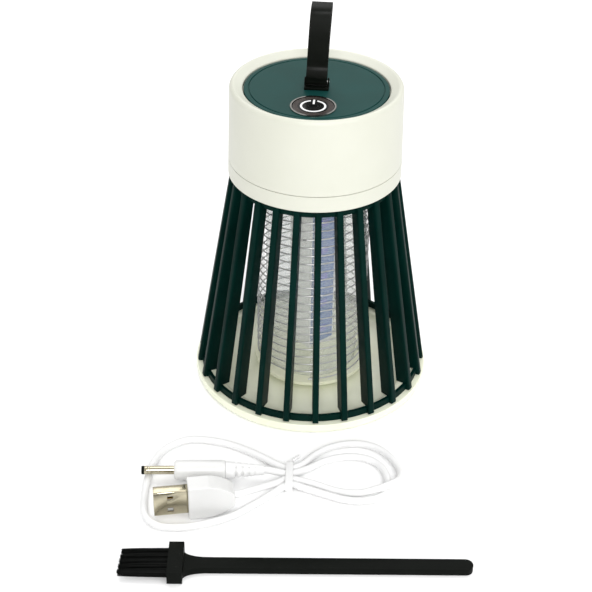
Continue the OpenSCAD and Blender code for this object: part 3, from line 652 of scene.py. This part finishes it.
# ---- Strap ----
# A soft black strap folded into a loop round a pin between two small ears.
# It is pinched above the foot, leans a little to one side and narrows towards the top.
strap_line = [
    (0.0, 139.5), (-0.78, 139.82), (-1.1, 140.6), (-1.3, 141.6), (-1.8, 143.3), (-1.4, 145.8),
    (-0.75, 147.6), (-1.6, 151.5), (-2.5, 156.0), (-3.5, 161.0), (-4.3, 165.5), (-4.65, 169.4),
    (-4.1, 171.9), (-2.3, 173.1), (0.0, 173.25), (2.3, 173.1), (4.1, 171.9), (4.65, 169.4),
    (4.3, 165.5), (3.5, 161.0), (2.5, 156.0), (1.6, 151.5), (0.75, 147.8), (0.8, 145.0),
    (0.95, 142.2), (1.1, 140.6), (0.78, 139.82), (0.0, 139.5)]
strap_path = eased([Vector((0.0, y, z)) * MM for y, z in strap_line], 5)
strap_half, strap_thick, strap_narrows, strap_leans = 4.25 * MM, 0.9 * MM, 0.035, 1.5 * MM
strap_foot, strap_rise, strap_shift = 140.6 * MM, 33.0 * MM, 0.1 * MM
strap = traced("strap_soft", strap_path)
bpy.ops.mesh.extrude_region_move(TRANSFORM_OT_translate={"value": (2 * strap_half, 0, 0)})
bpy.ops.mesh.select_all(action="SELECT")
bpy.ops.mesh.remove_doubles(threshold=0.00001)
bpy.ops.mesh.normals_make_consistent(inside=False)
bpy.ops.transform.translate(value=(-strap_half, 0, 0))
bpy.ops.object.mode_set(mode="OBJECT")
wall = strap.modifiers.new("wall", "SOLIDIFY")
wall.thickness = strap_thick
wall.offset = 0.0
bpy.ops.object.modifier_apply(modifier=wall.name)
rounded(strap, 0.3 * MM, 3, 50.0)
for v in strap.data.vertices:
    rise = max(0.0, (v.co.z - strap_foot) / strap_rise)
    v.co.x = v.co.x * (1.0 - strap_narrows * rise) + strap_leans * rise ** 1.3 - strap_shift
strap_black = moulded("strap_black", (0.0035, 0.0042, 0.0032), (0.006, 0.007, 0.0055), (0.34, 0.44),
                      mottle=120.0, grain=2600.0, depth=0.2, specular=0.11)
finished(strap, "strap", "black_strap", strap_black, "strap_loop")
strap_anchor = rounded(cad_copy("strap_anchor", "strap_anchor_moulded"), 0.28 * MM, 2, 40.0)
finished(strap_anchor, "lamp", "black_plastic", black_satin, "strap_anchor")

# ---- Electronics in the head ----
# A round board on four pillars carries the high-voltage parts above the cell in its cradle.
# Each part has its usual finish: solder mask, enamelled copper, ferrite, shrink wrap and nickel.
for node, material in {
        "control_board": moulded("solder_mask", (0.008, 0.09, 0.035), (0.012, 0.12, 0.05), (0.25, 0.35)),
        "hv_transformer": moulded("enamelled_copper", (0.45, 0.18, 0.05), (0.6, 0.28, 0.09), (0.25, 0.35),
                                  metal=1.0, mottle=900.0, stretch=(1.0, 1.0, 6.0)),
        "transformer_core": moulded("ferrite", (0.03, 0.03, 0.03), (0.05, 0.05, 0.05), (0.6, 0.7)),
        "hv_capacitor": moulded("dipped_red", (0.32, 0.03, 0.02), (0.45, 0.05, 0.03), (0.2, 0.3)),
        "board_chips": moulded("chip_epoxy", (0.015, 0.015, 0.016), (0.025, 0.025, 0.026), (0.5, 0.6)),
        "battery_cell": moulded("shrink_wrap", (0.02, 0.08, 0.38), (0.03, 0.11, 0.46), (0.22, 0.32)),
        "battery_contacts": moulded("nickel_strip", (0.6, 0.58, 0.52), (0.7, 0.68, 0.6), (0.25, 0.35),
                                    metal=1.0),
        "jack_pin": moulded("pin_nickel", (0.6, 0.58, 0.52), (0.7, 0.68, 0.6), (0.2, 0.3),
                            metal=1.0)}.items():
    dress(node, material)
for node in ("battery_cradle", "dc_jack"):
    dress(node, black_satin)

# ---- Studio ----
# A white floor in an even white room, with a key light to the right of the camera.
# A small front light lies close to the camera's axis, and a broad one hangs behind the lamp.
deselect()
bpy.ops.mesh.primitive_plane_add(size=6.0, location=(0, 0, -0.3 * MM))
floor = bpy.context.object
floor.name = "studio_floor"
floor.data.materials.append(moulded("floor_white", (0.93, 0.93, 0.93), (0.95, 0.95, 0.95), (0.6, 0.7)))


def soft_box(name, place, aim, size, power):
    light = bpy.data.lights.new(name, "AREA")
    light.shape = "RECTANGLE"
    light.size, light.size_y = size
    light.energy = power
    box = bpy.data.objects.new(name, light)
    bpy.context.scene.collection.objects.link(box)
    box.location = place
    box.rotation_euler = (Vector(aim) - Vector(place)).to_track_quat("-Z", "Y").to_euler()


soft_box("key_light", (0.75, -0.6, 0.8), (0, 0, 0.06), (0.8, 0.8), 3.8)
soft_box("front_light", (0.08, -1.05, 0.76), (0, 0, 0.04), (0.45, 0.35), 7.4)
soft_box("top_light", (0.0, 0.7, 1.3), (0, 0.3, 0.0), (1.6, 1.2), 12.0)
world = bpy.data.worlds.new("white_room")
world.use_nodes = True
world.node_tree.nodes["Background"].inputs["Color"].default_value = (1.0, 1.0, 1.0, 1.0)
world.node_tree.nodes["Background"].inputs["Strength"].default_value = 0.72
bpy.context.scene.world = world
bpy.context.scene.view_settings.view_transform = "Standard"
